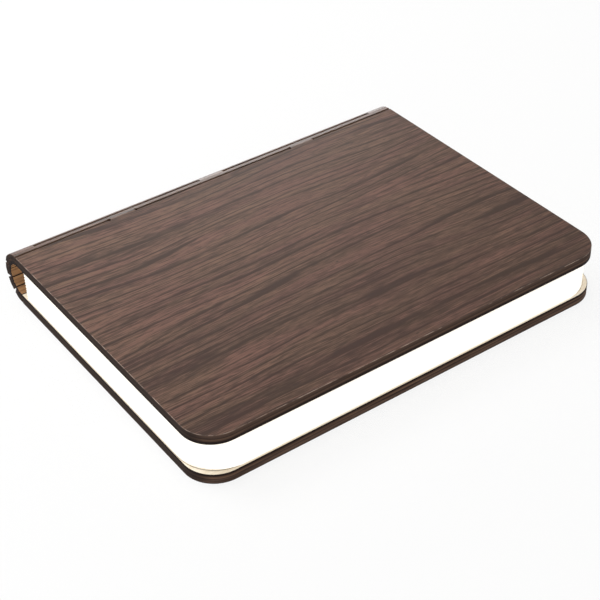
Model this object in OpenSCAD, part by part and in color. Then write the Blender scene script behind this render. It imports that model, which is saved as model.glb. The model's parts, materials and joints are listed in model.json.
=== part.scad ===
// Folding book lamp. A laser-cut plywood case folds like a book: two cover
// boards joined by a living hinge of ten slats. A pleated paper shade of ten
// leaves fans out between the covers, round a light core carried in the spine.
// Millimetres. X runs along the spine, the fore-edge faces -Y, +Z is up, and
// the origin is the centre of the closed lamp's footprint.

/* [Cover boards] */
// Length of the book, along the spine
book_l = 215; // [170:1:300]
// Flat depth of a cover, from the fore-edge to the first hinge line
cover_d = 155; // [110:1:220]
// Overall thickness of the closed book
book_t = 26; // [25:0.5:34]
// Thickness of the plywood
board_t = 5; // [4:0.25:5.5]
// Radius of the two corners at the fore-edge
corner_r = 15; // [6:1:30]

/* [Living hinge] */
// Bend at the two outermost hinge lines, as a share of every other bend
end_bend_share = 0.5; // [0.4:0.05:1]
// Gap left between two slats where the hinge closes most
kerf_clear = 0.16; // [0.1:0.02:0.3]
// Length of a bridge of wood between two cuts
bridge_w = 14.5; // [8:0.5:20]
// Length of the bridge at each end of an even row
end_bridge_w = 11.8; // [8:0.2:20]
// Diameter of the round hole that ends a cut
relief_d = 1.4; // [1.2:0.1:2]
// Gap between the two halves of a bridge at the hinge line
nose_gap = 0.1; // [0.05:0.01:0.2]

/* [Paper shade] */
// Thickness of the end paper glued inside each cover
end_paper_t = 0.3; // [0.2:0.05:0.5]
// Thickness of one closed pleat, two sheets of paper
leaf_t = 1.2; // [0.8:0.05:1.4]
// Margin between the paper and the fore-edge of the boards
leaf_margin = 1.2; // [1:0.1:10]
// Margin between the paper and the two ends of the boards
leaf_end_margin = 0.5; // [0.4:0.1:6]
// How much larger the radius of the paper's corners is than a concentric one
leaf_corner_extra = 1.8; // [0:0.1:6]
// Distance from the first hinge line to the folds on the spine side
leaf_setback = 6; // [5:0.5:12]
// Gap between the back end paper and the first leaf
first_gap = 0.3; // [0.25:0.05:0.5]
// Gap between the last leaf and the front end paper
last_gap = 0.3; // [0.25:0.05:0.5]

/* [Light core] */
// Height of the aluminium channel, across the spine
channel_h = 11; // [10.2:0.2:12]
// Depth of the channel, towards the paper
channel_d = 7; // [6.8:0.1:7.2]
// Wall of the channel
channel_wall = 0.8; // [0.6:0.1:1]
// Distance from the near end of the book to the core
core_near = 18; // [10:1:40]
// Distance from the far end of the book to the core
core_far = 3; // [1:0.5:12]
// Clearance between the channel and the slats behind it
channel_clear = 0.5; // [0.3:0.1:1]
// Thickness of the end caps
cap_t = 1.2; // [0.8:0.1:3]
// How far the diffuser stands out of the channel
diffuser_rise = 1.8; // [1:0.1:2.2]
// Wall of the diffuser
diffuser_wall = 0.9; // [0.6:0.1:1.1]
// Thickness of the two circuit boards
pcb_t = 0.8; // [0.6:0.1:1]
// Distance from the channel's mouth back to the light board
led_board_set = 1.2; // [1:0.1:1.4]
// Number of light-emitting packages
led_count = 24; // [8:1:40]
// Length and width of a package
led_size = [3.5, 2.8]; // [1:0.1:6]
// Height of a package
led_t = 0.7; // [0.4:0.1:0.9]
// Clearance of a sliding part in the channel, each side
slide_fit = 0.05; // [0.03:0.01:0.15]

/* [Cells and inlet] */
// Length of one lithium cell
cell_l = 68; // [40:1:70]
// Thickness of one cell
cell_t = 3.2; // [2:0.1:3.4]
// Width of one cell
cell_w = 8.2; // [6:0.1:8.4]
// Gap between the cells, bridged by their link
cell_gap = 4; // [2:0.5:8]
// Diameter of the insulated leads
lead_d = 0.9; // [0.6:0.1:1.4]
// Length of the charge board
charge_board_l = 27; // [20:1:30]
// Outer width of the charging inlet's shell
inlet_w = 8.9; // [7.4:0.1:9]
// Outer height of the charging inlet's shell
inlet_h = 3.1; // [2.6:0.1:3.2]
// Length of the charging inlet's shell
inlet_l = 7.4; // [6:0.1:12]
// Wall of the charging inlet's shell
inlet_wall = 0.3; // [0.2:0.05:0.4]
// Width of the sensor package
sensor_w = 3; // [2:0.1:4]

/* [Magnets] */
// Diameter of a cover magnet
magnet_d = 8; // [5:0.5:12]
// Thickness of a cover magnet
magnet_t = 2; // [1:0.25:3]
// Radial clearance of a magnet in its pocket
magnet_fit = 0.05; // [0.02:0.01:0.15]
// Distance from the fore-edge to a cover magnet's centre
magnet_in = 18; // [12:1:40]
// Distance from an end of the board to a cover magnet's centre
magnet_end = 24; // [12:1:60]
// Diameter of the magnet that the sensor reads
trigger_d = 4; // [3:0.5:6]
// Distance from the front cover's hinge line to the sensor's magnet
trigger_in = 4; // [3.5:0.5:20]

/* [Hidden] */
$fn = 96;
eps = 0.01;
slat_count = 10;
leaf_count = 10;

// --- Living hinge: eleven hinge lines turn the spine through 180 degrees.
// Line 1 lies at the back cover, the last line at the front cover.
bend = 180 / (slat_count - 1 + 2 * end_bend_share);
first_bend = bend * end_bend_share;
function slat_dir(i) = first_bend + bend * (i - 1);
function sum_to(i, part) = i < 1 ? 0
    : sum_to(i - 1, part)
        + (part == "y" ? cos(slat_dir(i)) : sin(slat_dir(i)));
// The pitch follows from the book's thickness: the slats' chord joins the
// mid-planes of the two boards.
pitch = (book_t - board_t) / sum_to(slat_count, "z");
kerf = board_t * tan(bend / 2) + kerf_clear;
// The cuts at the covers bend less, so they are narrower
end_kerf = board_t * tan(first_bend / 2) + kerf_clear;
function kerf_at(j) = j == 1 || j == slat_count + 1 ? end_kerf : kerf;
slat_w = pitch - kerf;
half = book_l / 2;
// How far the spine stands out behind the first hinge line, to the outer
// edge of the middle slat
mid_dir = slat_dir(slat_count / 2);
bulge = pitch * sum_to(slat_count / 2, "y") - kerf / 2 * cos(mid_dir)
    + board_t / 2 * sin(mid_dir);
spine_y = (cover_d + bulge) / 2 - bulge;
fore_y = spine_y - cover_d;
function line_y(j) = spine_y + pitch * sum_to(j - 1, "y");
function line_z(j) = board_t / 2 + pitch * sum_to(j - 1, "z");

mid_cut = (book_l - 2 * end_bridge_w - bridge_w) / 2;
// Bridges of a row, as [start, length] along X, and the ends of its cuts
function odd(j) = j % 2 == 1;
function bridges(j) = odd(j)
    ? [[-mid_cut / 2 - bridge_w, bridge_w], [mid_cut / 2, bridge_w]]
    : [[-half, end_bridge_w], [-bridge_w / 2, bridge_w],
       [half - end_bridge_w, end_bridge_w]];
function cut_ends(j) = [for (b = bridges(j), x = [b[0], b[0] + b[1]])
    if (abs(x) < half - eps) x];

// --- Paper stack between the two end papers
stack_z = board_t + end_paper_t + first_gap;
stack_top = book_t - board_t - end_paper_t - last_gap;
leaf_pitch = (stack_top - leaf_t - stack_z) / (leaf_count - 1);
leaf_y0 = fore_y + leaf_margin;
leaf_y1 = spine_y - leaf_setback;
leaf_r = corner_r + leaf_margin + leaf_corner_extra;

// --- Light core, square with the closed book
core_z = book_t / 2;
slat_inner_y = line_y(slat_count / 2 + 1) - board_t / 2;
// The channel's back corners keep clear of the slats round them
hollow_r = book_t / 2 - board_t;
channel_y1 = slat_inner_y - hollow_r
    + sqrt(pow(hollow_r - channel_clear, 2) - pow(channel_h / 2, 2));
channel_y0 = channel_y1 - channel_d;
inner_h = channel_h - 2 * channel_wall;
core_x0 = -half + core_near;
core_x1 = half - core_far;
channel_x0 = core_x0 + cap_t;
channel_x1 = core_x1 - cap_t;
channel_l = channel_x1 - channel_x0;
floor_y = channel_y1 - channel_wall;
led_board_y = channel_y0 + led_board_set;
rest_y = led_board_y + pcb_t;
rest_w = 0.6;
board_end = core_x1 - charge_board_l - 1;
rail_w = slat_w - 0.3;
core_slat = slat_count / 2;

// --- Helpers ---------------------------------------------------------------
// Stands a Y-Z profile up and extrudes it along X from x0
module along(x0, len)
    translate([x0, 0, 0]) rotate([90, 0, 90]) linear_extrude(len) children();

// Profile of half a bridge: a blunt wedge that reaches for the hinge line
module nose_profile(cut)
    polygon([[-cut / 2 - eps, -board_t / 2], [-cut / 2, -board_t / 2],
             [-nose_gap / 2, 0], [-cut / 2, board_t / 2],
             [-cut / 2 - eps, board_t / 2]]);

// Bridge halves of hinge line j, on the -Y side of a line at the origin
module noses(j)
    for (b = bridges(j)) along(b[0], b[1]) nose_profile(kerf_at(j));

// Round holes at the ends of line j's cuts
module reliefs(j)
    for (x = cut_ends(j))
        translate([x, 0, -board_t / 2 - 1]) cylinder(d = relief_d, h = board_t + 2);

// Moves a slat's own frame, Y along the hinge and Z inwards, to its place
module at_slat(i)
    translate([0, (line_y(i) + line_y(i + 1)) / 2,
               (line_z(i) + line_z(i + 1)) / 2])
        rotate([slat_dir(i), 0, 0]) children();

module slat(i)
    color("#8f7c70") at_slat(i) difference() {
        union() {
            along(-half, book_l)
                translate([(kerf_at(i) - pitch) / 2, -board_t / 2])
                    square([pitch - (kerf_at(i) + kerf_at(i + 1)) / 2, board_t]);
            translate([0, pitch / 2, 0]) noses(i + 1);
            translate([0, -pitch / 2, 0]) mirror([0, 1, 0]) noses(i);
        }
        translate([0, pitch / 2, 0]) reliefs(i + 1);
        translate([0, -pitch / 2, 0]) reliefs(i);
    }

// Rounded sheet from y0 at the fore-edge to y1, with two corners of radius r
module sheet_outline(hx, y0, y1, r) {
    translate([-hx, y0 + r]) square([2 * hx, y1 - y0 - r]);
    translate([-hx + r, y0]) square([2 * (hx - r), r + eps]);
    for (s = [-1, 1]) translate([s * (hx - r), y0 + r]) circle(r);
}

// Cover board lying flat with its lower face at z = 0
module board() {
    difference() {
        union() {
            linear_extrude(board_t)
                sheet_outline(half, fore_y, spine_y - end_kerf / 2, corner_r);
            translate([0, spine_y, board_t / 2]) noses(1);
        }
        translate([0, spine_y, board_t / 2]) reliefs(1);
    }
}

// Magnets' pockets open at z = 0 and go up into the board
module magnet_pockets()
    for (s = [-1, 1])
        translate([s * (half - magnet_end), fore_y + magnet_in, -eps])
            cylinder(d = magnet_d + 2 * magnet_fit, h = magnet_t + eps);

module cover_magnet(side, z)
    color("silver") translate([side * (half - magnet_end), fore_y + magnet_in, z])
        cylinder(d = magnet_d, h = magnet_t);

module end_paper(z)
    color("white") translate([0, 0, z]) linear_extrude(end_paper_t)
        sheet_outline(half - leaf_end_margin, leaf_y0, leaf_y1, leaf_r);

module leaf(k)
    color("ivory") translate([0, 0, stack_z + leaf_pitch * (k - 1)])
        linear_extrude(leaf_t)
            sheet_outline(half - leaf_end_margin, leaf_y0, leaf_y1, leaf_r);

// --- Case ------------------------------------------------------------------
module back_cover()
    color("#6f5b50") difference() {
        board();
        translate([0, 0, board_t]) mirror([0, 0, 1]) magnet_pockets();
    }

module front_cover()
    color("#6f5b50") translate([0, 0, book_t - board_t]) difference() {
        board();
        magnet_pockets();
        translate([core_x0 + sensor_w, spine_y - trigger_in, -eps])
            cylinder(d = trigger_d + 2 * magnet_fit, h = magnet_t + eps);
    }

module sensor_magnet()
    color("silver")
        translate([core_x0 + sensor_w, spine_y - trigger_in, book_t - board_t])
            cylinder(d = trigger_d, h = magnet_t);

// --- Light core ------------------------------------------------------------
// Y-Z section of the channel: open towards the paper, with two inner rests
module channel_section()
    difference() {
        translate([channel_y0, core_z - channel_h / 2])
            square([channel_d, channel_h]);
        translate([channel_y0 - 1, core_z - inner_h / 2])
            square([channel_d - channel_wall + 1, inner_h]);
    }

module core_channel()
    color("#c9ccd0") {
        along(channel_x0, channel_l) channel_section();
        for (s = [-1, 1])
            along(channel_x0, board_end - channel_x0)
                translate([rest_y + rest_w / 2,
                           core_z + s * (inner_h - rest_w + eps) / 2])
                    square([rest_w, rest_w + eps], center = true);
    }

module core_rail()
    color("#b98a5c") difference() {
        at_slat(core_slat)
            along(channel_x0, channel_l)
                translate([-rail_w / 2, board_t / 2]) square([rail_w, book_t / 4]);
        translate([channel_x0 - 1, channel_y1 - book_t, core_z - book_t / 2])
            cube([channel_l + 2, book_t, book_t]);
    }

// Half-width of the diffuser in the channel, and the radius of its crown
diffuser_hw = inner_h / 2 - slide_fit;
crown_r = (pow(diffuser_hw, 2) + pow(diffuser_rise, 2)) / (2 * diffuser_rise);

// Solid section of the diffuser, drawn in by its wall when inset is set
module crown_section(inset = 0) {
    hw = diffuser_hw - inset;
    translate([channel_y0 - eps, core_z - hw])
        square([led_board_set + (inset > 0 ? 1 : eps), 2 * hw]);
    intersection() {
        translate([channel_y0 - diffuser_rise + crown_r, core_z])
            circle(crown_r - inset);
        translate([channel_y0 - diffuser_rise - 1, core_z - hw])
            square([diffuser_rise + 1, 2 * hw]);
    }
}

module core_diffuser()
    color("white", 0.8) along(channel_x0, channel_l) difference() {
        crown_section();
        crown_section(diffuser_wall);
    }

// Outline of an end cap: the channel and the diffuser's crown
module cap_section() {
    translate([channel_y0, core_z - channel_h / 2])
        square([channel_d, channel_h]);
    crown_section();
}

module core_cap_near()
    color("gainsboro") along(core_x0, cap_t) cap_section();

// Slot section with round ends, centred on the inlet
inlet_y = floor_y - pcb_t - inlet_h / 2;
module slot_section(w, h) {
    translate([inlet_y, core_z]) square([h, w - h], center = true);
    for (s = [-1, 1]) translate([inlet_y, core_z + s * (w - h) / 2]) circle(h / 2);
}

module core_cap_far()
    color("gainsboro") along(channel_x1, cap_t) difference() {
        cap_section();
        slot_section(inlet_w + 2 * slide_fit, inlet_h + 2 * slide_fit);
    }

module charge_inlet()
    color("silver") {
        difference() {
            along(core_x1 - inlet_l, inlet_l) slot_section(inlet_w, inlet_h);
            along(core_x1 - inlet_l + inlet_wall * 3, inlet_l)
                slot_section(inlet_w - 2 * inlet_wall, inlet_h - 2 * inlet_wall);
        }
        along(core_x1 - inlet_l + inlet_wall, inlet_l - 1)
            translate([inlet_y, core_z])
                square([inlet_h / 4, inlet_w * 0.72], center = true);
    }

module charge_board()
    color("darkgreen")
        translate([core_x1 - charge_board_l, floor_y - pcb_t,
                   core_z - inner_h / 2 + slide_fit])
            cube([charge_board_l - cap_t, pcb_t, inner_h - 2 * slide_fit]);

// The light board slides in over the channel's rests
led_board_x0 = channel_x0 + slide_fit;
module led_board()
    color("white")
        translate([led_board_x0, led_board_y, core_z - inner_h / 2 + slide_fit])
            cube([board_end - led_board_x0, pcb_t, inner_h - 2 * slide_fit]);

sensor_x = core_x0 + sensor_w;
module sensor_chip()
    color("#222222")
        translate([sensor_x - sensor_w / 2, led_board_y - led_t,
                   core_z - sensor_w / 2])
            cube([sensor_w, led_t, sensor_w]);

led_x0 = sensor_x + sensor_w;
led_step = (board_end - led_size[0] - led_x0) / (led_count - 1);
module led_packages()
    color("lightyellow")
        for (k = [0 : led_count - 1])
            translate([led_x0 + k * led_step, led_board_y - led_t,
                       core_z - led_size[1] / 2])
                cube([led_size[0], led_t, led_size[1]]);

// --- Cells ---------------------------------------------------------------------
cell_x = [channel_x0 + 3, channel_x0 + 3 + cell_l + cell_gap];
cell_y = floor_y - cell_t / 2;
module cell(k)
    color("#5b6f86") along(cell_x[k], cell_l) {
        translate([cell_y, core_z]) square([cell_t, cell_w - cell_t], center = true);
        for (s = [-1, 1])
            translate([cell_y, core_z + s * (cell_w - cell_t) / 2])
                circle(cell_t / 2);
    }

module cell_link()
    color("#b02020") for (s = [-1, 1])
        along(cell_x[0] + cell_l, cell_gap)
            translate([cell_y, core_z + s * cell_w / 6]) circle(lead_d / 2);

module cell_leads()
    color("#b02020") for (s = [-1, 1])
        along(cell_x[1] + cell_l,
              core_x1 - charge_board_l + 3 - cell_x[1] - cell_l)
            translate([floor_y - pcb_t - lead_d / 2, core_z + s * cell_w / 4])
                circle(lead_d / 2);

// --- One line for each node ----------------------------------------------------
back_cover();
end_paper(board_t);  // end_paper_back
cover_magnet(-1, board_t - magnet_t);  // cover_magnet_back_left
cover_magnet(1, board_t - magnet_t);  // cover_magnet_back_right
slat(1);  // spine_slat_01
slat(2);  // spine_slat_02
slat(3);  // spine_slat_03
slat(4);  // spine_slat_04
slat(5);  // spine_slat_05
slat(6);  // spine_slat_06
slat(7);  // spine_slat_07
slat(8);  // spine_slat_08
slat(9);  // spine_slat_09
slat(10);  // spine_slat_10
front_cover();
end_paper(book_t - board_t - end_paper_t);  // end_paper_front
cover_magnet(-1, book_t - board_t);  // cover_magnet_front_left
cover_magnet(1, book_t - board_t);  // cover_magnet_front_right
sensor_magnet();
leaf(1);  // leaf_01
leaf(2);  // leaf_02
leaf(3);  // leaf_03
leaf(4);  // leaf_04
leaf(5);  // leaf_05
leaf(6);  // leaf_06
leaf(7);  // leaf_07
leaf(8);  // leaf_08
leaf(9);  // leaf_09
leaf(10);  // leaf_10
core_rail();
core_channel();
core_diffuser();
core_cap_near();
core_cap_far();
led_board();
led_packages();
sensor_chip();
cell(0);  // battery_cell_1
cell(1);  // battery_cell_2
cell_link();
cell_leads();
charge_board();
charge_inlet();
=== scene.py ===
# %% [markdown]
# # Folding book lamp
# The lamp is a book. One sheet of laser-cut walnut plywood makes both covers and, between them,
# a living hinge of ten slats. A pleated paper shade fans out between the covers round a light
# core in the spine. This lesson dresses the jointed CAD frame: it builds the wood from its cut
# outline, the paper from its folds, and gives every part the material it is made of.
# All positions are in the frame's metres. The shapes are worked out in millimetres.

# %% Load the frame
import json
import math
import bmesh
import bpy
import numpy as np
from mathutils import Matrix, Vector


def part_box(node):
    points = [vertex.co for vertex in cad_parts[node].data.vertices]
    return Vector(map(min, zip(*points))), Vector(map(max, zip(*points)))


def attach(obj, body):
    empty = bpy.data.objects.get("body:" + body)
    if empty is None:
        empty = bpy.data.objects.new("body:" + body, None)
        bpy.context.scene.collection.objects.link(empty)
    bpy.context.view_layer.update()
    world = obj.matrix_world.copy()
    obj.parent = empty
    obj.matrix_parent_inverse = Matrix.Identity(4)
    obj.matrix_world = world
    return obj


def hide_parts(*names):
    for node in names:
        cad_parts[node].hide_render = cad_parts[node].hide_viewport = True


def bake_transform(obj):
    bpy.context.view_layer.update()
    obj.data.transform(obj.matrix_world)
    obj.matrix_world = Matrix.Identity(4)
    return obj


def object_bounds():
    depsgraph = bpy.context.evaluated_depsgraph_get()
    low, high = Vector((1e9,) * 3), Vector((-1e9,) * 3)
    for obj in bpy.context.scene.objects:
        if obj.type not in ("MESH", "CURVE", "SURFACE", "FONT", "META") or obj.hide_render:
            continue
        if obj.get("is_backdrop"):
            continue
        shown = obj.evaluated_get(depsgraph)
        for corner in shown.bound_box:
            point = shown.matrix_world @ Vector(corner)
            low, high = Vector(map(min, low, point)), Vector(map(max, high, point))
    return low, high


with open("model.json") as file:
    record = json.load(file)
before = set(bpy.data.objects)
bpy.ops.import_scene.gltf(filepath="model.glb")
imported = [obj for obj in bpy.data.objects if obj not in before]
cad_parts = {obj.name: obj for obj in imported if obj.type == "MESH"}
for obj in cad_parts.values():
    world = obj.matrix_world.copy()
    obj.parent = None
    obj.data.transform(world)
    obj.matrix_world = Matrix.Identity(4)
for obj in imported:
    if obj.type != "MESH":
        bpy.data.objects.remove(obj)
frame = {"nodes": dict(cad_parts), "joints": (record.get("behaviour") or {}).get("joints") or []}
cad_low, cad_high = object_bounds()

MM = 0.001

# %% [markdown]
# ## The board's cutting plan
# A laser cuts the whole case from one flat board. Each piece could be modelled where it stands,
# but its cuts and its grain would then have to be matched to its neighbours by hand. So all the
# wood starts from the flat plan: x runs along the spine, t across the board and n through it, with
# the outside of the book at -n and the inside at +n. The frame's own joints say where the eleven
# hinge lines lie. They part the plan into twelve flat strips, the back cover, the ten slats and
# the front cover, and each strip is turned to its own direction in the closed book.

# %% Hinge lines
BOARD_T = 5.0
KERF_CLEAR = 0.16  # what stays open of a cut at the inside face when the book is closed
HALF_L = cad_high.x / MM
lines = [Vector(j["pos_m"][1:]) / MM for j in frame["joints"]]
pitch = sum((b - a).length for a, b in zip(lines, lines[1:])) / (len(lines) - 1)
bend = math.pi / (len(lines) - 1)
last = len(lines)


def kerf_at(j):
    """Width of the cut at hinge line j. The two cuts at the covers bend half as much."""
    return BOARD_T * math.tan(bend / (4 if j in (1, last) else 2)) + KERF_CLEAR


print(f"{last} hinge lines, pitch {pitch:.3f} mm,",
      f"cuts {kerf_at(1):.3f} and {kerf_at(2):.3f} mm wide")


# %% Strips
def strip_frame(k):
    """(origin, direction) of strip k: 0 the back cover, 1 to 10 the slats, 11 the front cover."""
    if k == 0:
        return lines[0], 0.0
    if k == last:
        return lines[-1], math.pi
    a, b = lines[k - 1], lines[k]
    return (a + b) / 2, math.atan2(b.y - a.y, b.x - a.x)


def place(k, x, t, n):
    """A point of the plan, on strip k, as a point of the closed book in metres."""
    (y, z), turn = strip_frame(k)
    c, s = math.cos(turn), math.sin(turn)
    return Vector((x, y + t * c - n * s, z + t * s + n * c)) * MM


def across(k, t):
    """How far across the unrolled board, from hinge line 1, strip k's own t lies."""
    return t + {0: 0.0, last: (last - 1) * pitch}.get(k, (k - 0.5) * pitch)


print("slats turn", [round(math.degrees(strip_frame(k)[1]), 1) for k in range(1, last)], "degrees")

# %% [markdown]
# ## Cuts and outlines
# A cut part could be a box with a bevel, but a laser leaves round relief holes at the ends of its
# cuts and a rounded cover corner, so each part gets its whole outline, point by point. The cuts
# lie like bricks: the even hinge lines keep a bridge of uncut wood at each end and one in the
# middle, and the odd lines keep two bridges between those.

# %% Cuts and bridges of a hinge line
BRIDGE_W = 14.5
END_BRIDGE_W = 11.8
RELIEF_R = 0.7
RELIEF_STEPS = 3  # points on each half of a relief hole
mid_cut = (2 * HALF_L - 2 * END_BRIDGE_W - BRIDGE_W) / 2


def bridges(j):
    """The bridges of uncut wood across hinge line j, as (start, end) along x."""
    if j % 2:
        return [(-mid_cut / 2 - BRIDGE_W, -mid_cut / 2), (mid_cut / 2, mid_cut / 2 + BRIDGE_W)]
    return [(-HALF_L, -HALF_L + END_BRIDGE_W), (-BRIDGE_W / 2, BRIDGE_W / 2),
            (HALF_L - END_BRIDGE_W, HALF_L)]


def within(x):
    """True for an x that isn't on an end of the book."""
    return abs(x) < HALF_L - 0.01


def cut_ends(j):
    """Where the cuts begin and end along hinge line j, for rising x."""
    return sorted(x for span in bridges(j) for x in span if within(x))


def kerf_edge(j, line_t, side):
    """Points along side -1 or 1 of the cut at hinge line j, with its relief holes, for rising x."""
    cut = kerf_at(j) / 2
    reach = math.acos(cut / RELIEF_R)
    points = [(-HALF_L, line_t + side * cut)]
    for x in cut_ends(j):
        for i in range(2 * RELIEF_STEPS + 1):
            a = reach * (i / RELIEF_STEPS - 1)
            points.append((x + RELIEF_R * math.sin(a), line_t + side * RELIEF_R * math.cos(a)))
    return points + [(HALF_L, line_t + side * cut)]


print(f"{len(bridges(1))} bridges in odd lines, {len(bridges(2))} in even ones,",
      f"longest cut {mid_cut:.1f} mm")

# %% Outline of a cover
COVER_D = 155.0
CORNER_R = 15.0
CORNER_STEPS = 20


def fore_edge(side):
    """The cover's far side from x = HALF_L round to -HALF_L, with its two rounded corners."""
    points = []
    for corner in (1, -1):
        for i in range(CORNER_STEPS + 1):
            a = math.pi / 2 * (i / CORNER_STEPS if corner > 0 else 1 - i / CORNER_STEPS)
            points.append((corner * (HALF_L - CORNER_R + CORNER_R * math.cos(a)),
                           side * (COVER_D - CORNER_R + CORNER_R * math.sin(a))))
    return points


def inset(outline, by):
    """The outline moved inwards by a small distance, at right angles to each side."""
    p = np.array(outline)
    ahead = np.roll(p, -1, 0) - p
    ahead /= np.linalg.norm(ahead, axis=1)[:, None]
    inward = np.stack([-ahead[:, 1], ahead[:, 0]], 1)
    before = np.roll(inward, 1, 0)
    return p + by * (inward + before) / (1 + (inward * before).sum(1))[:, None]


print("a cover's far side has", len(fore_edge(1)), "points")

# %% [markdown]
# ## From outline to wood
# A modifier could round the edges, but the arris and the scorched band need faces of their own.
# So the outline is extruded through the board, with extra loops close to its faces. They make the
# arris, the slightly eased edge that catches the light, and on the inside the narrow band that
# the laser scorched. Every vertex also keeps its place on the flat board as an attribute, so that
# the grain can run on unbroken over covers, slats and bridges, as it does on one real sheet.

# %% Mesh helpers
SHEET = "sheet_mm"


def finish_mesh(name, bm, materials, smooth=35):
    """Turns a bmesh in metres into a linked object, smooth except at edges sharper than smooth."""
    bmesh.ops.recalc_face_normals(bm, faces=bm.faces)
    for f in bm.faces:
        f.smooth = True
    mesh = bpy.data.meshes.new(name)
    bm.to_mesh(mesh)
    bm.free()
    mesh.set_sharp_from_angle(angle=math.radians(smooth))
    for m in materials:
        mesh.materials.append(m)
    obj = bpy.data.objects.new(name, mesh)
    bpy.context.scene.collection.objects.link(obj)
    return obj


def new_board_mesh():
    """An empty bmesh and the layer that keeps each vertex's place on the flat board."""
    bm = bmesh.new()
    return bm, bm.verts.layers.float_vector.new(SHEET)


def plan_vert(bm, layer, k, x, t, n):
    """A vertex at a point of the plan, on strip k."""
    v = bm.verts.new(place(k, x, t, n))
    v[layer] = (x, across(k, t), n)
    return v


def skin(bm, loop_a, loop_b, mat):
    """Quads between two loops of the same length."""
    for i in range(len(loop_a)):
        j = (i + 1) % len(loop_a)
        bm.faces.new((loop_a[i], loop_a[j], loop_b[j], loop_b[i])).material_index = mat


print("each vertex keeps its place on the board in", SHEET)

# %% Cutting a part
FACE, EDGE, EASED, INSIDE = range(4)  # a part's material slots
ARRIS = 0.16
SCORCH = 0.22
POCKET_SIDES = 32


def cut_part(name, k, outline, materials, pockets=()):
    """Extrudes strip k's outline, counter-clockwise in x and t, through the board.

    pockets are round holes from the inside face, each as (x, t, radius, depth).
    """
    bm, layer = new_board_mesh()
    half = BOARD_T / 2
    levels = [(-half, ARRIS), (-half + ARRIS, 0), (half - ARRIS, 0), (half, SCORCH)]
    loops = [[plan_vert(bm, layer, k, x, t, n) for x, t in inset(outline, by)] for n, by in levels]
    for (a, b), mat in zip(zip(loops, loops[1:]), (EASED, EDGE, EDGE)):
        skin(bm, a, b, mat)
    bm.faces.new(loops[0]).material_index = FACE
    if not pockets:
        bm.faces.new(loops[-1]).material_index = INSIDE
        return finish_mesh(name, bm, materials)
    rims = []
    for x0, t0, r, depth in pockets:
        ring = [(x0 + r * math.cos(a), t0 + r * math.sin(a))
                for a in np.linspace(0, 2 * math.pi, POCKET_SIDES + 1)[:-1]]
        rim, foot = ([plan_vert(bm, layer, k, x, t, n) for x, t in ring]
                     for n in (half, half - depth))
        skin(bm, rim, foot, INSIDE)
        bm.faces.new(foot).material_index = INSIDE
        rims.append(rim)
    rim_edges = [bm.edges.get((loop[i - 1], loop[i])) for loop in [loops[-1], *rims]
                 for i in range(len(loop))]
    filled = bmesh.ops.triangle_fill(bm, edges=rim_edges, use_beauty=True, use_dissolve=False)
    for f in filled["geom"]:
        if isinstance(f, bmesh.types.BMFace):
            f.material_index = INSIDE
    return finish_mesh(name, bm, materials)


print(f"arris {ARRIS} mm, scorched band {SCORCH} mm")

# %% [markdown]
# ## Colours and nodes
# Node trees could be clicked together in the editor, but written down they can be read and run
# again. Colours are written as the sRGB hex a maker would pick, and Blender wants linear numbers,
# so one function turns the first into the second. One more adds a node with its settings and
# links and hands on its output, so that each line of a tree reads as one step.


# %% Material helpers
def colour(hex_code):
    """'#rrggbb' in sRGB as Blender's linear (r, g, b, 1)."""
    parts = [int(hex_code[i:i + 2], 16) / 255 for i in (1, 3, 5)]
    return tuple(c / 12.92 if c <= 0.04045 else ((c + 0.055) / 1.055) ** 2.4 for c in parts) + (1,)


def add(tree, kind, links=None, out=0, stops=(), **settings):
    """Adds a node and returns one of its outputs.

    links gives its inputs, each a value or another node's output. stops are the (place, '#rrggbb')
    pairs of a colour ramp. settings are the node's own properties.
    """
    node = tree.nodes.new("ShaderNode" + kind)
    for key, value in settings.items():
        setattr(node, key, value)
    for key, value in (links or {}).items():
        if isinstance(value, bpy.types.NodeSocket):
            tree.links.new(value, node.inputs[key])
        else:
            node.inputs[key].default_value = value
    for i, (at, code) in enumerate(stops):
        elements = node.color_ramp.elements
        element = elements[i] if i < 2 else elements.new(at)
        element.position, element.color = at, colour(code)
    return node.outputs[out]


def material(name, **sockets):
    """A new material with a Principled shader. sockets sets its constant inputs."""
    m = bpy.data.materials.new(name)
    m.use_nodes = True
    shader = m.node_tree.nodes["Principled BSDF"]
    for key, value in sockets.items():
        shader.inputs[key.replace("_", " ")].default_value = value
    return m, m.node_tree, shader


print("mid grey #808080 is", round(colour("#808080")[0], 3), "in linear light")

# %% [markdown]
# ## Walnut veneer, oiled
# American black walnut, crown cut and sanded: mid brown with growth rings 4 to 6 mm apart. Each
# ring darkens slowly and ends in a thin dark line of late wood, which fades in and out along the
# board. Fine streaks and short dashes lie between the rings, patches lean to red or olive, and
# the open pores are dark marks about 6 mm long. Real pores are 0.2 mm wide, too fine to show, so
# they are drawn 0.7 mm wide. Oil leaves a satin surface, IOR about 1.5. An image of veneer could
# be wrapped on, but it would repeat and stop at each cut. Here the ring's number is worked out
# from the place on the flat board, so the figure crosses every cut unbroken.

# %% Patterns of the walnut
RING_WAVES = (((190, 75, 20), 20.0), ((55, 10, 20), 2.6))  # (size in mm, swing in mm) of its bends
# Each noise: (size of its features in mm along the grain, across it and through it), then its
# detail and its roughness
WALNUT_NOISES = {
    "spread": ((220, 17, 90), 1.0, 0.5),
    "fade": ((42, 3.4, 90), 2.0, 0.6),
    "bands": ((150, 8, 90), 2.0, 0.5),
    "fine": ((24, 0.6, 90), 3.0, 0.75),
    "dashes": ((8, 1.0, 90), 2.0, 0.6),
    "pores": ((6, 0.7, 90), 1.0, 0.5),
    "flecks": ((3.5, 1.5, 90), 0.0, 0.5),
    "patches": ((50, 9, 90), 2.0, 0.5),
}


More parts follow.
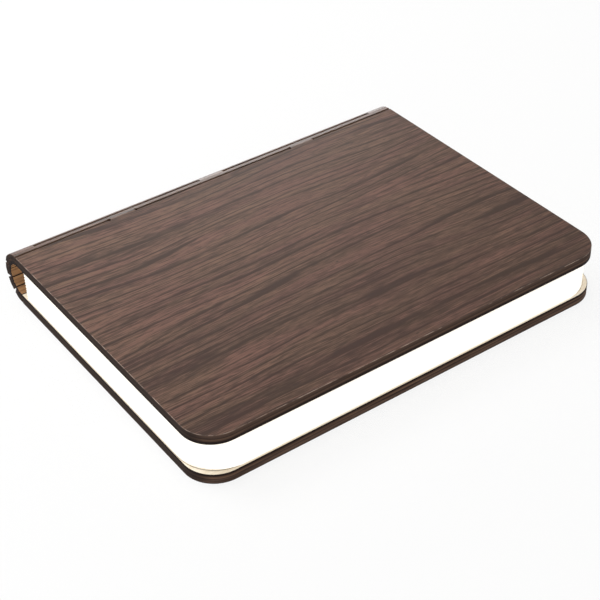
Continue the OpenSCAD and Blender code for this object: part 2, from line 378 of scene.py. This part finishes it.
def walnut_noises(tree):
    """(x, across, waves, noises): the place on the board, its ring waves in mm, and the noises."""
    flat = add(tree, "Attribute", attribute_name=SHEET, out="Vector")
    x, across_board, depth = (add(tree, "SeparateXYZ", {0: flat}, out=i) for i in range(3))
    waves = across_board
    for cell, swing in RING_WAVES:
        stretched = add(tree, "VectorMath", {0: flat, 1: [1 / c for c in cell]},
                        operation="MULTIPLY")
        wave = add(tree, "TexNoise", {"Vector": stretched, "Scale": 1.0, "Detail": 1.0}, out="Fac")
        waves = add(tree, "Math", {0: wave, 1: swing, 2: waves}, operation="MULTIPLY_ADD")
    bent = add(tree, "CombineXYZ", {0: x, 1: waves, 2: depth})
    noises = {}
    for name, (cell, detail, roughness) in WALNUT_NOISES.items():
        stretched = add(tree, "VectorMath", {0: bent, 1: [1 / c for c in cell]},
                        operation="MULTIPLY")
        noises[name] = add(tree, "TexNoise", {"Vector": stretched, "Scale": 1.0, "Detail": detail,
                                              "Roughness": roughness}, out="Fac")
    return x, across_board, waves, noises


print("walnut:", len(WALNUT_NOISES), "noises,", len(RING_WAVES), "waves")

# %% Growth rings
RING_MM = 5.2
RING_SPREAD = 4.0  # how many rings the slow noise moves them by, so that some lie closer
LATE_FROM, LATE_UNTIL = 0.55, 0.93  # a ring darkens from the one, and ends after the other
LATE_CURVE = 2.2  # above 1, the dark gathers at the ring's end


def late_wood(tree, waves, noises):
    """How dark the late wood is: 0 in the pale part of a ring, up to 1 near its end."""
    rings = add(tree, "Math", {0: waves, 1: RING_MM}, operation="DIVIDE")
    rings = add(tree, "Math", {0: noises["spread"], 1: RING_SPREAD, 2: rings},
                operation="MULTIPLY_ADD")
    ring = add(tree, "Math", {0: rings}, operation="FRACT")
    late = add(tree, "MapRange", {0: ring, 1: LATE_FROM, 2: 1.0}, interpolation_type="SMOOTHSTEP")
    late = add(tree, "Math", {0: late, 1: LATE_CURVE}, operation="POWER")
    ended = add(tree, "MapRange", {0: ring, 1: 1.0, 2: LATE_UNTIL})
    late = add(tree, "Math", {0: late, 1: ended}, operation="MULTIPLY")
    shown = add(tree, "MapRange", {0: noises["fade"], 1: 0.38, 2: 0.60, 3: 0.25, 4: 1.0},
                interpolation_type="SMOOTHSTEP")
    return add(tree, "Math", {0: late, 1: shown}, operation="MULTIPLY")


print(f"rings {RING_MM} mm wide, of which late wood {RING_MM * (1 - LATE_FROM):.1f} mm")

# %% Tone of the walnut
MID_TONE = 0.48
LATE_TONE = -0.32
TONES = (("bands", 0.22), ("fine", 0.52), ("dashes", 0.28))  # how much each noise weighs
STRONG, CALM = (-100, 1.75), (20, 1.15)  # (x, contrast): the figure is stronger at the near end
# The tone darkens a little towards these places, each as (from, to, how much)
FORE, SPINE, FAR = (80, 185, -0.075), (85, 30, -0.030), (10, 107, -0.015)


def walnut_tone(tree, x, across_board, late, noises):
    """From dark to pale, about MID_TONE: late wood, noises and a slow darkening towards some
    places.
    """
    tone = add(tree, "Math", {0: late, 1: LATE_TONE, 2: 0.0}, operation="MULTIPLY_ADD")
    for name, weight in TONES:
        tone = add(tree, "Math", {0: noises[name], 1: weight, 2: tone}, operation="MULTIPLY_ADD")
    contrast = add(tree, "MapRange", {0: x, 1: STRONG[0], 2: CALM[0], 3: STRONG[1], 4: CALM[1]})
    tone = add(tree, "Math", {0: tone, 1: MID_TONE}, operation="SUBTRACT")
    tone = add(tree, "Math", {0: tone, 1: contrast, 2: MID_TONE}, operation="MULTIPLY_ADD")
    for along, (start, end, darker) in ((across_board, FORE), (across_board, SPINE), (x, FAR)):
        darkening = add(tree, "MapRange", {0: along, 1: start, 2: end, 4: darker})
        tone = add(tree, "Math", {0: tone, 1: darkening})
    return tone


print("contrast", STRONG[1], "at the near end,", CALM[1], "further on")


# %% Walnut
def walnut_colour(tree):
    """(colour, height) of the walnut on the flat board."""
    x, across_board, waves, noises = walnut_noises(tree)
    late = late_wood(tree, waves, noises)
    tone = walnut_tone(tree, x, across_board, late, noises)
    olive = add(tree, "ValToRGB", {0: tone}, stops=(
        (0.34, "#382519"), (0.42, "#4b3528"), (0.50, "#5c4436"), (0.60, "#725544")))
    red = add(tree, "ValToRGB", {0: tone}, stops=(
        (0.34, "#39231a"), (0.42, "#4c3429"), (0.50, "#5e4237"), (0.60, "#745245")))
    lean = add(tree, "MapRange", {0: noises["patches"], 1: 0.38, 2: 0.64},
               interpolation_type="SMOOTHSTEP")
    wood = add(tree, "Mix", {0: lean, 6: olive, 7: red}, out=2, data_type="RGBA")
    pits = add(tree, "MapRange", {0: noises["pores"], 1: 0.57, 2: 0.70, 4: 0.5})
    marks = add(tree, "MapRange", {0: noises["flecks"], 1: 0.84, 2: 0.88, 4: 0.8})
    dark = add(tree, "Math", {0: pits, 1: marks}, operation="MAXIMUM")
    wood = add(tree, "Mix", {0: dark, 6: wood, 7: colour("#33241d")}, out=2, data_type="RGBA")
    # Pores are pits, and the hard late wood stands a little proud after sanding
    height = add(tree, "Math", {0: pits, 1: -1.6, 2: late}, operation="MULTIPLY_ADD")
    return wood, height


walnut, tree, shader = material("walnut_veneer_oiled", Roughness=0.42, Specular_IOR_Level=0.18)
wood, height = walnut_colour(tree)
tree.links.new(wood, shader.inputs["Base Color"])
bump = add(tree, "Bump", {"Height": height, "Distance": 0.02 * MM, "Strength": 0.5})
tree.links.new(bump, shader.inputs["Normal"])
print("material:", walnut.name, "with", len(tree.nodes), "nodes")

# %% [markdown]
# ## The laser's edge
# The laser chars the edge of the ply to near black. Plain black would do from afar, but close up
# the glue lines and the darker face veneers still show as faint layers, so the colour follows n,
# the depth through the board. Patchy smoke lies over it, 26 mm long and 1.6 mm high. On the ends
# of the book the laser cuts across the grain, and end grain burns darker, so the normal's x turns
# the colour down. The edge also darkens from the back cover over the slats to the front cover, and
# on the back cover in a band next to its outer face, the face that lies on the floor. The back
# cover's layers lie a little nearer its inside. Char is matt, roughness about 0.8.

# %% Layers of the charred edge
charred, tree, shader = material("laser_charred_ply_edge", Roughness=0.8, Specular_IOR_Level=0.12)
flat = add(tree, "Attribute", attribute_name=SHEET, out="Vector")
across_board, through = (add(tree, "SeparateXYZ", {0: flat}, out=i) for i in (1, 2))
depth = add(tree, "MapRange", {0: through, 1: -BOARD_T / 2, 2: BOARD_T / 2})
back_side = add(tree, "MapRange", {0: across_board, 1: 0, 2: -8})
shifted = add(tree, "Math", {0: back_side, 1: -0.12, 2: depth}, operation="MULTIPLY_ADD")
layers = add(tree, "ValToRGB", {0: shifted}, stops=(
    (0.03, "#7b6355"), (0.14, "#6a5346"), (0.34, "#5a463c"), (0.40, "#2e2220"),
    (0.46, "#7a5f4d"), (0.62, "#6a5142"), (0.70, "#2a1d1a"), (1.00, "#1a1110")))
print("charred layers over", BOARD_T, "mm")

# %% Smoke over the layers
SMOKE_MM = (26, 26, 1.6)
puffs = add(tree, "VectorMath", {0: flat, 1: [1 / c for c in SMOKE_MM]}, operation="MULTIPLY")
smoke = add(tree, "TexNoise", {"Vector": puffs, "Scale": 1.0, "Detail": 4.0}, out="Fac")
soot = add(tree, "MapRange", {0: smoke, 1: 0.40, 2: 0.66, 3: 0.0, 4: 0.7})
sideways = add(tree, "SeparateXYZ", {0: add(tree, "TexCoord", out="Normal")}, out=0)
sideways = add(tree, "Math", {0: sideways}, operation="ABSOLUTE")
end_grain = add(tree, "MapRange", {0: sideways, 1: 0.45, 2: 0.95, 4: 0.85},
                interpolation_type="SMOOTHSTEP")
# The edge darkens from the back cover over the slats to the front cover
front_side = add(tree, "MapRange", {0: across_board, 1: 0, 2: 60, 4: 0.5})
# The back cover's edge darkens in a band next to its outer face, which lies on the floor
bottom = add(tree, "MapRange", {0: depth, 1: 0.06, 2: 0.30, 3: 0.9, 4: 0.0})
bottom = add(tree, "Math", {0: bottom, 1: back_side}, operation="MULTIPLY")
char_and_darkening = soot
for cause in (end_grain, front_side, bottom):
    char_and_darkening = add(tree, "Math", {0: char_and_darkening, 1: cause}, operation="MAXIMUM")
edge_colour = add(tree, "Mix", {0: char_and_darkening, 6: layers, 7: colour("#1d1513")}, out=2,
                  data_type="RGBA")
tree.links.new(edge_colour, shader.inputs["Base Color"])
print("material:", charred.name)

# %% [markdown]
# ## Arris with a painted highlight, and inside veneer
# The arris is walnut with a painted highlight: in short stretches of about 5 mm it turns pale, as
# if a lamp's glint caught the eased edge. One pale line all round would look drawn on, so a noise
# breaks it up. Inside the covers the face veneer is plain birch, painted paler than birch as
# painted light against the shade under the top cover. Inside the slats it is painted darker, partly
# browned by smoke and partly painted shade of the hollow spine. Both are one finish in two colours,
# so one function makes them.

# %% Arris with a painted highlight
HIGHLIGHT_MM = 5
eased, tree, shader = material("walnut_arris_painted_highlight", Roughness=0.4, Specular_IOR_Level=0.5)
wood, height = walnut_colour(tree)
flat = add(tree, "Attribute", attribute_name=SHEET, out="Vector")
glint_noise = add(tree, "TexNoise", {"Vector": flat, "Scale": 1 / HIGHLIGHT_MM, "Detail": 3.0}, out="Fac")
# Where this noise is high the arris turns pale: a painted highlight, standing in for a glint
painted_highlight = add(tree, "MapRange", {0: glint_noise, 1: 0.44, 2: 0.62, 3: 0.0, 4: 0.85})
# The pale #b7a08f is the painted highlight's colour
arris_colour = add(tree, "Mix", {0: painted_highlight, 6: wood, 7: colour("#b7a08f")}, out=2,
                   data_type="RGBA")
tree.links.new(arris_colour, shader.inputs["Base Color"])
print("material:", eased.name)

# %% Birch inside
BIRCH_MM = (60, 1.2, 60)


def birch(name, deep, pale):
    """Rotary-cut birch, raw: an even matt veneer with grain about 1.2 mm wide and 60 mm long."""
    m, tree, shader = material(name, Roughness=0.6, Specular_IOR_Level=0.3)
    flat = add(tree, "Attribute", attribute_name=SHEET, out="Vector")
    along = add(tree, "VectorMath", {0: flat, 1: [1 / c for c in BIRCH_MM]}, operation="MULTIPLY")
    grain = add(tree, "TexNoise", {"Vector": along, "Scale": 1.0, "Detail": 3.0}, out="Fac")
    veneer = add(tree, "ValToRGB", {0: grain}, stops=((0.35, deep), (0.65, pale)))
    tree.links.new(veneer, shader.inputs["Base Color"])
    return m


# Painted light: the birch inside the covers is painted paler than birch, against the shade under
# the top cover
inside = birch("birch_veneer_inside_painted_light", "#f2e4cd", "#fbf1e0")
# Painted shade, partly real smoke: the birch inside the slats is painted darker for the shaded
# hollow of the spine
smoked_and_shaded = birch("birch_veneer_smoked_painted_shade", "#7e5c41", "#a57e58")
board_materials = [walnut, charred, eased, inside]
slat_materials = [walnut, charred, charred, smoked_and_shaded]
print("materials:", inside.name, "and", smoked_and_shaded.name)

# %% [markdown]
# ## Covers and slats
# The two covers and ten slats are the strips of the plan between the hinge lines. Their CAD solids
# could stay and just get a material, but they lack the relief holes and the arris. So each is cut
# anew, rides on its own body and stands for its CAD solid, which stays behind for collisions. The
# covers have blind pockets inside for the magnets that hold the book shut, and the front cover
# one more for the magnet that works the switch.

# %% Covers
MAGNET_FROM_END, MAGNET_FROM_FORE = 24, 18
MAGNET_POCKET_R, TRIGGER_POCKET_R, POCKET_DEPTH = 4.05, 2.05, 2.0
magnet_pockets = [(s * (HALF_L - MAGNET_FROM_END), MAGNET_FROM_FORE - COVER_D,
                   MAGNET_POCKET_R, POCKET_DEPTH) for s in (-1, 1)]
back_outline = [(x, -t) for x, t in reversed(fore_edge(1))] + kerf_edge(1, 0, -1)[::-1]
front_outline = kerf_edge(last, 0, 1) + fore_edge(1)
trigger = (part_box("sensor_magnet")[0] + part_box("sensor_magnet")[1]) / 2 / MM
front_pockets = [(x, -t, r, d) for x, t, r, d in magnet_pockets]
front_pockets.append((trigger.x, lines[-1].x - trigger.y, TRIGGER_POCKET_R, POCKET_DEPTH))
back_board = cut_part("back_board", 0, back_outline, board_materials, magnet_pockets)
front_board = cut_part("front_board", last, front_outline, board_materials, front_pockets)
for board, node, body in ((back_board, "back_cover", "back_cover_body"),
                          (front_board, "front_cover", "front_cover_body")):
    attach(board, body)
    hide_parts(node)
    print(board.name, len(board.data.polygons), "faces")

# %% Slats
for k in range(1, last):
    outline = kerf_edge(k, -pitch / 2, 1) + kerf_edge(k + 1, pitch / 2, -1)[::-1]
    slat = cut_part(f"hinge_slat_{k:02d}", k, outline, slat_materials)
    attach(slat, f"slat_{k:02d}_body")
    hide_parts(f"spine_slat_{k:02d}")
print(last - 1, "slats")

# %% [markdown]
# ## Bridges
# The slats hang together by short bridges of uncut wood that bend as the book opens; a rigid
# bridge would tear. Each row of bridges is one mesh, built bent as in the closed book. Only its
# middle column lies on the hinge line; the columns either side lie on their own strip.

# %% Bridges
half_t = BOARD_T / 2


def bridge_row(j):
    """Makes the bent bridges of hinge line j, from strip j - 1 to strip j."""
    bm, layer = new_board_mesh()
    y, z = lines[j - 1]
    turn = (strip_frame(j - 1)[1] + strip_frame(j)[1]) / 2
    half_turn = (strip_frame(j)[1] - strip_frame(j - 1)[1]) / 2
    line_a = 0.0 if j == 1 else pitch / 2  # the hinge line's t on the strip before it
    line_b = 0.0 if j == last else -pitch / 2  # and on the strip after it
    cut = kerf_at(j) / 2
    chord = half_t * math.cos(half_turn) - cut * math.sin(half_turn)

    def column(x_start, x_end, side, lap):
        """Four points at one side of the hinge line: both ends in x, each outside and inside.

        lap moves them on to the strip's own eased edge, so that no gap shows.
        """
        made = []
        for x_edge, into in ((x_start, 1), (x_end, -1)):
            for n, beyond in ((-half_t, ARRIS), (half_t, SCORCH)):
                t = side * (cut + (beyond if lap else 0))
                bite = math.sqrt(max(0.0, RELIEF_R ** 2 - t * t))
                x = x_edge + (into * bite if within(x_edge) else 0)
                if side == 0:
                    d = n if n > 0 else -chord
                    point = Vector((x, y - d * math.sin(turn), z + d * math.cos(turn)))
                    v = bm.verts.new(point * MM)
                    v[layer] = (x, (j - 1) * pitch, n)
                else:
                    k, line = (j - 1, line_a) if side < 0 else (j, line_b)
                    v = plan_vert(bm, layer, k, x, line + t, n)
                made.append(v)
        return made

    for x_start, x_end in bridges(j):
        columns = [column(x_start, x_end, side, lap)
                   for side, lap in ((-1, True), (-1, False), (0, False), (1, False), (1, True))]
        for a, b in zip(columns, columns[1:]):
            for (p, q), mat in (((0, 2), FACE), ((1, 3), INSIDE), ((0, 1), EDGE), ((2, 3), EDGE)):
                bm.faces.new((a[p], a[q], b[q], b[p])).material_index = mat
        for c in (columns[0], columns[-1]):
            bm.faces.new((c[0], c[1], c[3], c[2])).material_index = EDGE
    row = finish_mesh(f"hinge_bridges_{j:02d}", bm, slat_materials, smooth=50)
    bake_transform(row)


for j in range(1, last + 1):
    bridge_row(j)
print(last, "rows of bridges")

# %% [markdown]
# ## The pleated shade
# The shade is one long strip of bonded polyethylene paper, pleated like a bellows. Its outer
# folds run round the three open sides of the book, its inner folds lie near the light. Cloth
# simulation would lose such crisp folds, so the pleats are computed. Each stretch of paper
# between two neighbouring bodies is one mesh, and each of its points has the share w of the turn
# at which a flat sheet would lie. Its height between the two leaves is the inverse of the smooth
# step 3h^2 - 2h^3, taken at w. The folds aren't pressed quite flat: they spring out past the CAD's
# pressed leaf and nearly reach the covers' edges. The paper rounds the corners more widely, so a
# wider ledge of the cover shows there.

# %% Sizes of the paper
low, high = (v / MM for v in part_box("leaf_01"))
FORE_SPRING, SIDE_SPRING = 0.9, 0.25  # how far the folds spring out past the pressed leaf
PAPER_R = 20.0
SIDE_FOLD = 34.0  # from the book's ends in, the inner folds deepen over this length
paper_half, paper_fore, paper_inner = high.x + SIDE_SPRING, low.y - FORE_SPRING, high.y
leaf_z = [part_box("end_paper_back")[1].z / MM]
leaf_z += [(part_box(f"leaf_{k:02d}")[0].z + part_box(f"leaf_{k:02d}")[1].z) / 2 / MM
           for k in range(1, last)]
leaf_z += [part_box("end_paper_front")[0].z / MM]
# The grid is finer near the folds: shares of the way out from the light, and mm from the ends
rows_u = np.array([0, 0.03, 0.08, 0.16, 0.3, 0.5, 0.7, 0.86, 0.93, 0.97, 0.99, 1.0])
from_side = np.array([0, 0.35, 1.4, 3.1, 5.4, 8.2, 11.3, 14.6, 18, 23, 28, 34, 50, 75])
columns_x = np.concatenate([from_side - paper_half, [0], paper_half - from_side[::-1]])
print(f"the folded paper is {2 * paper_half:.1f} x {paper_inner - paper_fore:.1f} mm")

# %% Pleats
FROM_RIM = "from_rim_mm"
SAME_POINT = 1e-7  # in metres


def share_to_height(w):
    """The inverse of the smooth step 3h^2 - 2h^3."""
    return 0.5 - math.sin(math.asin(1 - 2 * w) / 3)


def fore_at(x):
    """Where the paper's outer fold lies at x, round the rounded corners."""
    into = max(0.0, abs(x) - (paper_half - PAPER_R))
    return paper_fore + PAPER_R - math.sqrt(PAPER_R ** 2 - into ** 2)


def pleats(j, paper):
    """The paper between strip j - 1 and strip j, as a bellows of one or two pleats."""
    folds = [0.0, 0.5, 1.0] if j in (1, last) else [0.0, 0.25, 0.5, 0.75, 1.0]
    hinge_y = lines[j - 1].x
    z0, z1 = leaf_z[j - 1], leaf_z[j]
    bm = bmesh.new()
    from_rim = bm.verts.layers.float.new(FROM_RIM)

    def vert(x, u, w_in, w_out):
        """A point at x, a share u of the way out, of a sheet from w_in inside to w_out outside."""
        fore = fore_at(x)
        r_in, r_out = hinge_y - paper_inner, hinge_y - fore
        y = paper_inner + (fore - paper_inner) * u
        reach = min(1.0, (paper_half - abs(x)) / SIDE_FOLD)
        valley = 1 - (1 - reach) ** 2
        w_start = w_out + (w_in - w_out) * valley
        lie = u * r_out / (r_in + u * (r_out - r_in))
        w = w_start + (w_out - w_start) * lie
        v = bm.verts.new(Vector((x, y, z0 + (z1 - z0) * share_to_height(w))) * MM)
        v[from_rim] = min(paper_half - abs(x), y - fore)
        return v

    for i, (w_a, w_b) in enumerate(zip(folds, folds[1:])):
        w_in, w_out = (w_a, w_b) if i % 2 == 0 else (w_b, w_a)
        grid = [[vert(x, u, w_in, w_out) for u in rows_u] for x in columns_x]
        for a, b in zip(grid, grid[1:]):
            for p in range(len(rows_u) - 1):
                bm.faces.new((a[p], b[p], b[p + 1]))
                bm.faces.new((a[p], b[p + 1], a[p + 1]))
    bmesh.ops.remove_doubles(bm, verts=bm.verts, dist=SAME_POINT)
    made = finish_mesh(f"shade_pleats_{j:02d}", bm, [paper])
    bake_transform(made)
    if j < last:
        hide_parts(f"leaf_{j:02d}")
    return made


print("a quarter of the turn lies at", round(share_to_height(0.25), 3), "of the height")

# %% [markdown]
# ## Bonded paper, lit
# Flash-spun polyethylene paper: matt white, roughness about 0.8, with a cloudy swirl of fibres
# 3 to 8 mm long that shows against the light. The lamp is lit, and the paper glows as it passes
# the light on. The broad faces glow warm and soft. Along the rim the eye looks through two folded
# layers at once, so the last few millimetres glow white. Each vertex keeps its distance from the
# rim for this. A translucent shader round real lamps could glow too, but slowly and with noise,
# so the glow is the shader's own emission.

# %% Shade paper
RIM_MM, FACE_MM = 1.5, 8.0  # in from the rim, the glow is white up to the one, warm from the other
FIBRE_MM = 4
paper, tree, shader = material("bonded_shade_paper_lit", Roughness=0.8, IOR=1.5,
                               Emission_Strength=0.65)
place_mm = add(tree, "VectorMath", {0: add(tree, "TexCoord", out="Object"), 3: 1 / MM},
               operation="SCALE")
fibres = add(tree, "TexNoise", {"Vector": place_mm, "Scale": 1 / FIBRE_MM, "Detail": 5.0,
                                "Roughness": 0.7, "Distortion": 1.5}, out="Fac")
rim = add(tree, "Attribute", attribute_name=FROM_RIM, out="Fac")
rim = add(tree, "MapRange", {0: rim, 1: RIM_MM, 2: FACE_MM}, interpolation_type="SMOOTHSTEP")
pulp = add(tree, "ValToRGB", {0: fibres}, stops=((0.3, "#b9b4aa"), (0.7, "#c4c0b8")))
tree.links.new(pulp, shader.inputs["Base Color"])
face_glow = add(tree, "ValToRGB", {0: fibres}, stops=((0.3, "#b1a68f"), (0.7, "#c2b8a5")))
rim_glow = add(tree, "ValToRGB", {0: fibres}, stops=((0.3, "#fffbf4"), (0.6, "#fffefc")))
glow = add(tree, "Mix", {0: rim, 6: rim_glow, 7: face_glow}, out=2, data_type="RGBA")
tree.links.new(glow, shader.inputs["Emission Color"])
for j in range(1, last + 1):
    made = pleats(j, paper)
print(last, "stretches of pleated paper;", len(made.data.vertices), "vertices in the last")

# %% [markdown]
# ## The end papers
# The shade is glued to a sheet of laid paper on the inside of each cover. Its CAD solid has the
# right shape and stays. Laid paper is matt and slightly ribbed, with lines about 1.1 mm apart.
# Its cut edge is greyer than its face, partly its own grey and partly painted shade of the narrow
# gap at the foot of the pleats. A second material could mark the edge, but the face looks
# straight up or down when the book is closed, so the normal's z tells them apart.

# %% End paper
LAID_MM = (50 / 3, 10 / 9, 10 / 9)
end_paper, tree, shader = material("laid_end_paper", Roughness=0.85)
cells = add(tree, "VectorMath", {0: add(tree, "TexCoord", out="Object"),
                                 1: [1 / (c * MM) for c in LAID_MM]}, operation="MULTIPLY")
laid = add(tree, "TexNoise", {"Vector": cells, "Scale": 1.0, "Detail": 3.0}, out="Fac")
face = add(tree, "ValToRGB", {0: laid}, stops=((0.35, "#f3eadb"), (0.65, "#fcf6ea")))
upright = add(tree, "SeparateXYZ", {0: add(tree, "TexCoord", out="Normal")}, out=2)
upright = add(tree, "Math", {0: upright}, operation="ABSOLUTE")
# The edge's grey #8d8470 is partly the cut edge's own colour and partly painted shade of the gap
# under the pleats
sheet_colour = add(tree, "Mix", {0: upright, 6: colour("#8d8470"), 7: face}, out=2,
                   data_type="RGBA")
tree.links.new(sheet_colour, shader.inputs["Base Color"])
print("material:", end_paper.name)

# %% [markdown]
# ## The light core and the small parts
# The light core is an extruded channel with an opal cover, its light board, the cells and the
# charge board. These keep their CAD solids, whose shapes are right, and get real materials. Each
# could be one flat colour, but moulded, plated and drawn surfaces all drift a little in tone, so
# one function gives them two close tones and a bump. Most of the real textures, such as spark
# marks and drawn lines, are finer than 0.1 mm, so they are drawn as coarse as they need to show.


# %% Core finishes
def speckled(name, code_a, code_b, cell_mm, **sockets):
    """A moulded, plated or coated finish whose colour drifts between two close tones."""
    m, tree, shader = material(name, **sockets)
    cells = add(tree, "VectorMath", {0: add(tree, "TexCoord", out="Object"),
                                     1: [1 / (c * MM) for c in cell_mm]}, operation="MULTIPLY")
    drift = add(tree, "TexNoise", {"Vector": cells, "Scale": 1.0, "Detail": 3.0}, out="Fac")
    tones = add(tree, "ValToRGB", {0: drift}, stops=((0.35, code_a), (0.65, code_b)))
    tree.links.new(tones, shader.inputs["Base Color"])
    bump = add(tree, "Bump", {"Height": drift, "Distance": 0.01 * MM, "Strength": 0.4})
    tree.links.new(bump, shader.inputs["Normal"])
    return m


finishes = {
    # Extruded and anodised: a soft silver sheen, drawn out along the channel
    "channel_aluminium": speckled("extruded_aluminium_anodised", "#c3c6ca", "#d3d6d9",
                                  (60, 0.4, 0.4), Metallic=1.0, Roughness=0.38),
    # Extruded opal plastic: milky and smooth, it hides the light's points in an even glow
    "opal_plastic": speckled("opal_polycarbonate", "#f4f1ea", "#fffdf8", (5, 5, 5),
                             Roughness=0.35, IOR=1.58),
    # Moulded with a fine spark texture: light grey, half matt
    "cap_plastic": speckled("moulded_abs_light_grey", "#d5d3cf", "#dddbd7", (2, 2, 2),
                            Roughness=0.5, IOR=1.53),
    # Printed lacquer on the boards: smooth, with a slight gloss
    "board_white": speckled("solder_mask_white", "#e9e9e4", "#f4f4f0", (3, 3, 3), Roughness=0.4),
    "board_green": speckled("solder_mask_green", "#1f5a38", "#2a6b45", (3, 3, 3), Roughness=0.35),
    # Poured gel with phosphor in it: pale yellow, glossy
    "led_phosphor": speckled("phosphor_gel", "#ffe9a8", "#fff2c4", (1, 1, 1), Roughness=0.3),
    # Moulded epoxy with glass powder: near black, matt and finely grained
    "chip_black": speckled("moulded_epoxy_black", "#1a1a1b", "#232324", (0.5, 0.5, 0.5),
                           Roughness=0.6),
    # Laminated aluminium foil: silver, softly creased
    "cell_wrap": speckled("foil_pouch_silver", "#b9bcc0", "#cdd0d3", (4, 4, 4), Roughness=0.35,
                          Metallic=0.9),
    # Silicone drawn over wire: an even red, rubbery
    "lead_red": speckled("silicone_lead_red", "#a3221c", "#b52a22", (3, 3, 3), Roughness=0.5),
    # Folded and plated steel: bright, with fine lines along the inlet
    "inlet_steel": speckled("plated_steel_shell", "#b5b7ba", "#c6c8ca", (3, 0.3, 0.3),
                            Metallic=1.0, Roughness=0.3),
    # Nickel plate on a sintered magnet: warm silver with a fine grain
    "magnet_nickel": speckled("nickel_plate", "#b8b5ae", "#cac7c0", (0.6, 0.6, 0.6),
                              Metallic=1.0, Roughness=0.22),
    # Planed birch: pale, with grain about 0.8 mm wide along the rail
    "rail_wood": speckled("birch_rail", "#c59a6a", "#d9b689", (30, 0.8, 0.8), Roughness=0.6),
    "shade_paper": end_paper,
    "walnut_ply": walnut,
}
print(len(finishes), "finishes")

# %% Finishes on the nodes
for lit, code in (("opal_plastic", "#fff3df"), ("led_phosphor", "#fff0cc")):
    lamp = finishes[lit].node_tree.nodes["Principled BSDF"]
    lamp.inputs["Emission Color"].default_value = colour(code)
    lamp.inputs["Emission Strength"].default_value = 1.0
for name, node in frame["nodes"].items():
    node.data.materials[0] = finishes[node.data.materials[0].name.split(".")[0]]
print(len(frame["nodes"]), "nodes have their finish")

# %% [markdown]
# ## Floor and light
# The lamp stands on a plain white sweep in a bright studio. A solid white floor would do for the
# closed book, but the front cover and half of the fan swing below it as the book opens, because
# the back cover is the part that lies still. So the floor is mostly clear where the camera, a
# reflection or a clear piece sees it, and still takes the lamp's soft shadow. The world is white
# to those rays and dimmer to the rays that light the lamp, so the background stays white while
# the colours come out as they are written.

# %% Floor and world
SPAN = 3.0
FLOOR_CLEAR = 0.85
WORLD_LIGHT = 0.55


def seen_directly(tree):
    """1 for a ray from the camera, a reflection or a clear piece, and 0 for a ray that lights."""
    sees = add(tree, "LightPath", out="Is Camera Ray")
    for ray in ("Is Glossy Ray", "Is Transmission Ray"):
        sees = add(tree, "Math", {0: sees, 1: add(tree, "LightPath", out=ray)},
                   operation="MAXIMUM")
    return sees


bm = bmesh.new()
corners = [bm.verts.new((x, y, 0))
           for x, y in ((-SPAN, -SPAN), (SPAN, -SPAN), (SPAN, SPAN), (-SPAN, SPAN))]
bm.faces.new(corners)
sweep, tree, shader = material("matt_white_sweep", Roughness=0.9)
shader.inputs["Base Color"].default_value = colour("#f4f4f3")
output = tree.nodes["Material Output"]
sees = seen_directly(tree)
clear = add(tree, "BsdfTransparent")
share = add(tree, "Math", {0: sees, 1: FLOOR_CLEAR}, operation="MULTIPLY")
mixed = add(tree, "MixShader", {0: share, 1: shader.outputs[0], 2: clear})
tree.links.new(mixed, output.inputs["Surface"])
floor = finish_mesh("floor", bm, [sweep])
floor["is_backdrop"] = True

world = bpy.data.worlds.new("studio")
bpy.context.scene.world = world
world.use_nodes = True
tree = world.node_tree
level = add(tree, "MapRange", {0: seen_directly(tree), 3: WORLD_LIGHT, 4: 1.0})
tree.links.new(level, tree.nodes["Background"].inputs["Strength"])
tree.nodes["Background"].inputs["Color"].default_value = colour("#ffffff")
print(f"floor {2 * SPAN} m square, {FLOOR_CLEAR:.0%} clear; world light {WORLD_LIGHT}")


# %% Softboxes
def softbox(name, place_at, aim, size, watts):
    """A square white area light that faces aim."""
    data = bpy.data.lights.new(name, "AREA")
    data.size, data.energy, data.color = size, watts, colour("#ffffff")[:3]
    obj = bpy.data.objects.new(name, data)
    obj.location = place_at
    obj.rotation_euler = (Vector(aim) - Vector(place_at)).to_track_quat("-Z", "Y").to_euler()
    bpy.context.scene.collection.objects.link(obj)
    print(name, watts, "W")


softbox("key_softbox", (-0.30, 0.42, 0.70), (0, 0, 0), 0.5, 4.2)
softbox("fill_softbox", (-0.9, -0.7, 0.6), (0, 0, 0), 0.8, 2.0)
# A low light behind the book, in line with the mirror direction of the top slat
softbox("rim_softbox", (0.54, 1.06, 0.16), (0, 0.07, 0.02), 0.5, 5.0)

# %% [markdown]
# ## Camera
# The lamp is seen from its near corner and from above, through a long lens that keeps its edges
# nearly parallel. A tracking constraint could aim the camera, but it would always hold it level.
# So its right, down and forward directions are written out as three unit vectors.

# %% Camera
SENSOR_MM, LENS_MM = 36.0, 87.95
EYE_MM = (-307.7, -443.4, 409.3)
camera = bpy.data.cameras.new("camera")
camera.sensor_width, camera.lens = SENSOR_MM, LENS_MM
camera.clip_start, camera.clip_end = 0.01, 20
eye = bpy.data.objects.new("camera", camera)
right, down, forward = (Vector(v) for v in ((0.81192, -0.58327, -0.02419),
                                            (-0.37100, -0.48356, -0.79280),
                                            (0.45072, 0.65266, -0.60900)))
turn = Matrix((right, -down, -forward)).transposed()
eye.matrix_world = Matrix.Translation(Vector(EYE_MM) * MM) @ turn.to_4x4()
bpy.context.scene.collection.objects.link(eye)
bpy.context.scene.camera = eye
bpy.context.scene.view_settings.view_transform = "Standard"
print(f"camera {Vector(EYE_MM).length:.0f} mm from the middle of the underside, lens {LENS_MM} mm")

# %% [markdown]
# ## Sizes
# The dressed lamp has to be as big as its CAD. Looking is not enough to tell, so both boxes are
# measured here and written side by side.

# %% Sizes and finish
low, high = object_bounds()
print("cad box", [round(v / MM, 2) for v in (*cad_low, *cad_high)])
print("visual box", [round(v / MM, 2) for v in (*low, *high)])
